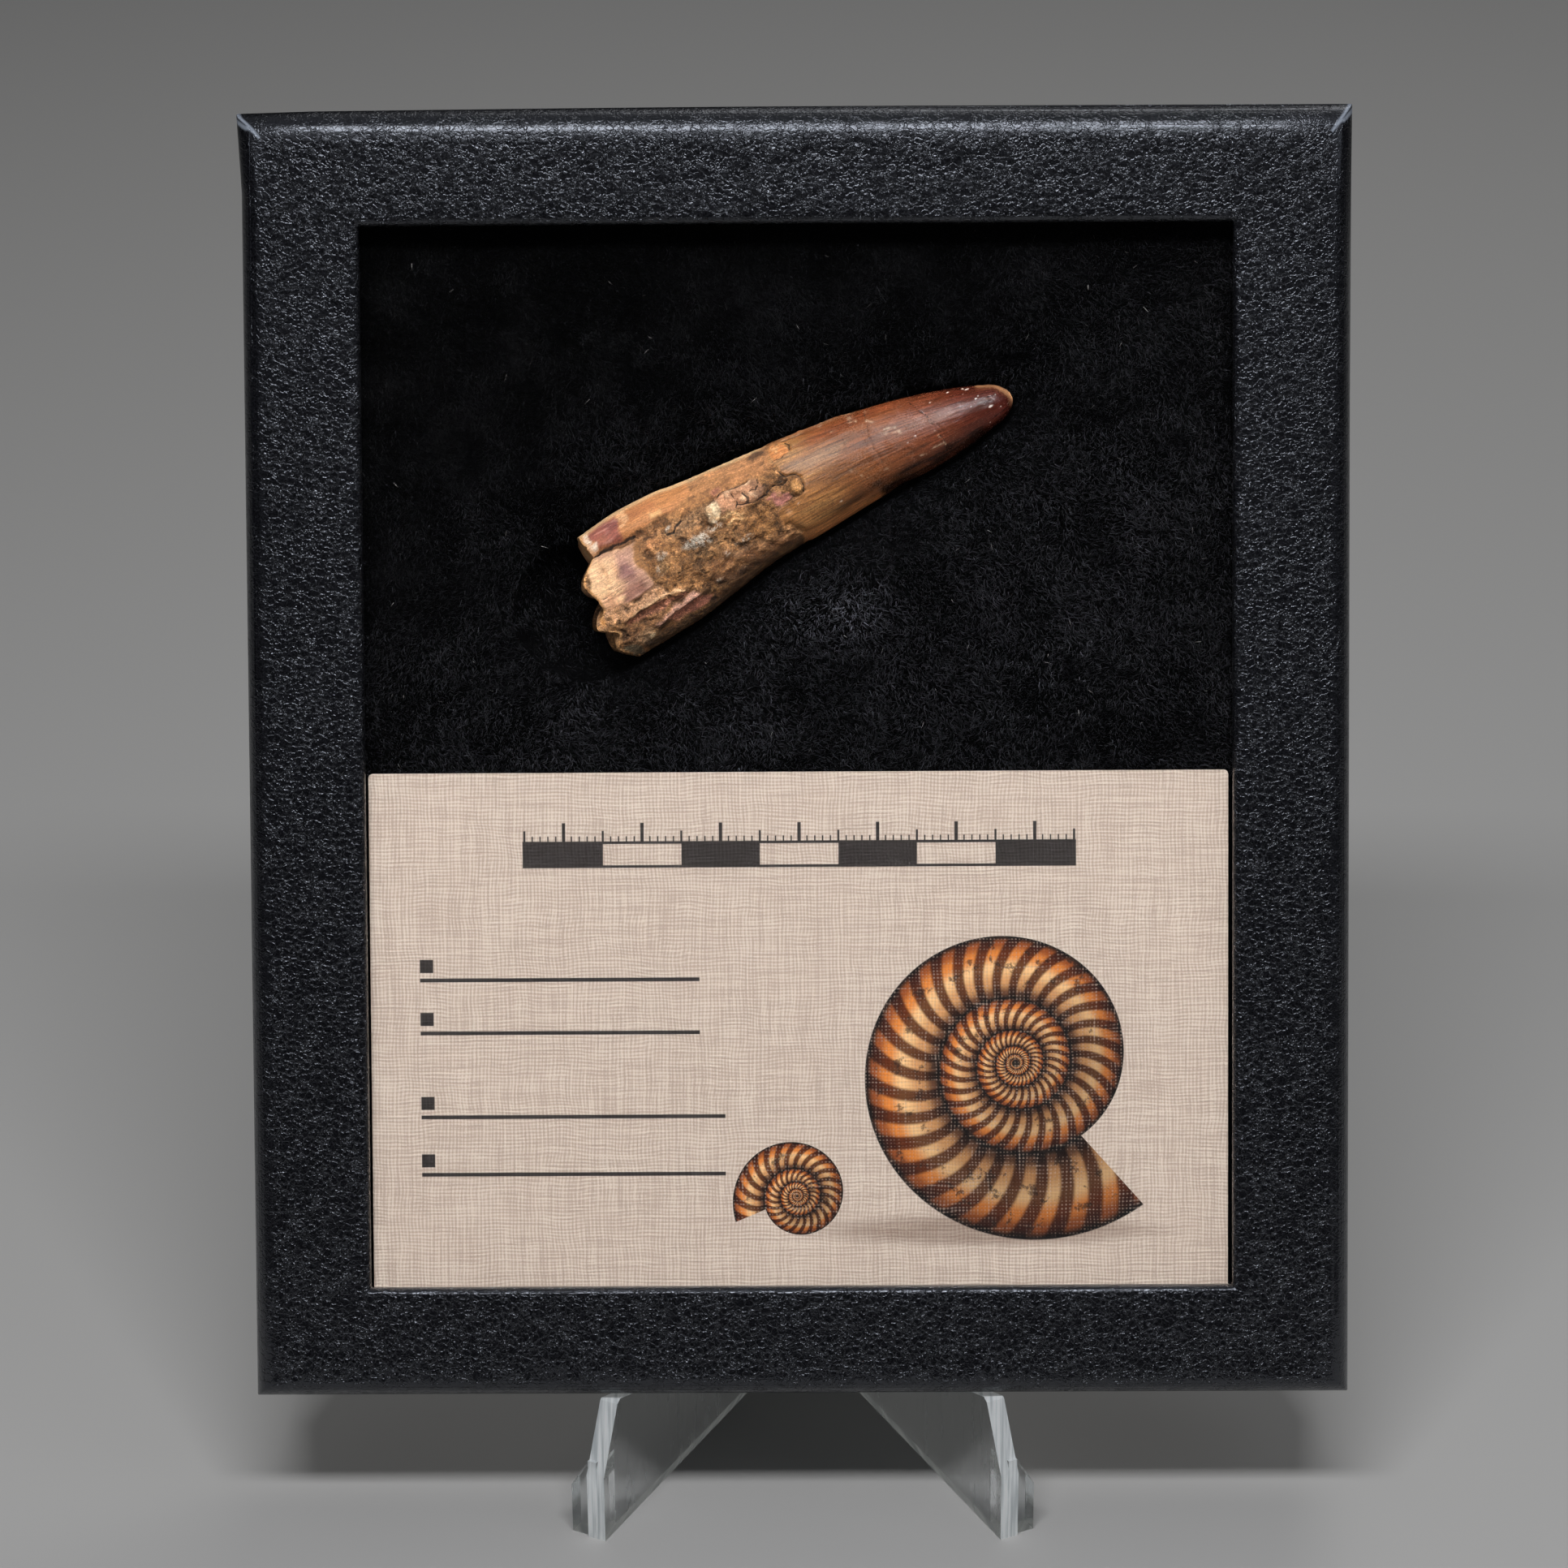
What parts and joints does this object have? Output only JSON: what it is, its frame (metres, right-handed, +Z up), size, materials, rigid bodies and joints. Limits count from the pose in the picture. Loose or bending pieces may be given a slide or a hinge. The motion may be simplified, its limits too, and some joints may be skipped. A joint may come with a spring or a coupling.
{
  "type": "fossil dinosaur tooth in a window display box on an easel",
  "caption": "Fossil conical dinosaur tooth pressed into black plush behind the window of a small flat display box with a card below it, leaning back on a clear V-shaped easel.",
  "frame": {"origin": "on the ground, at the middle of the object's bounding box seen from above", "axes": "+Z up; -Y is the side that the window faces; +X is to the right seen from the front"},
  "size_m": [0.14, 0.0772, 0.1728],
  "materials": {
    "fossil_tooth": "glossy striated brown enamel over rough tan matrix",
    "black_leather_grain_paper": "pebbled leather grain with a satin gloss",
    "black_board": "matt black paper-covered board",
    "clear_pane": "clear, glossy, with a little dust",
    "black_plush": "short brushed pile over soft padding",
    "beige_linen_card": "matt, linen-embossed, printed in brown and orange",
    "clear_acrylic": "clear, polished edges"
  },
  "bodies": {
    "root": {"tooth": "fossil_tooth", "lid": "black_leather_grain_paper", "tray": "black_board", "window": "clear_pane", "pad": "black_plush", "label_card": "beige_linen_card", "stand_left": "clear_acrylic", "stand_right": "clear_acrylic"}
  },
  "joints": []
}
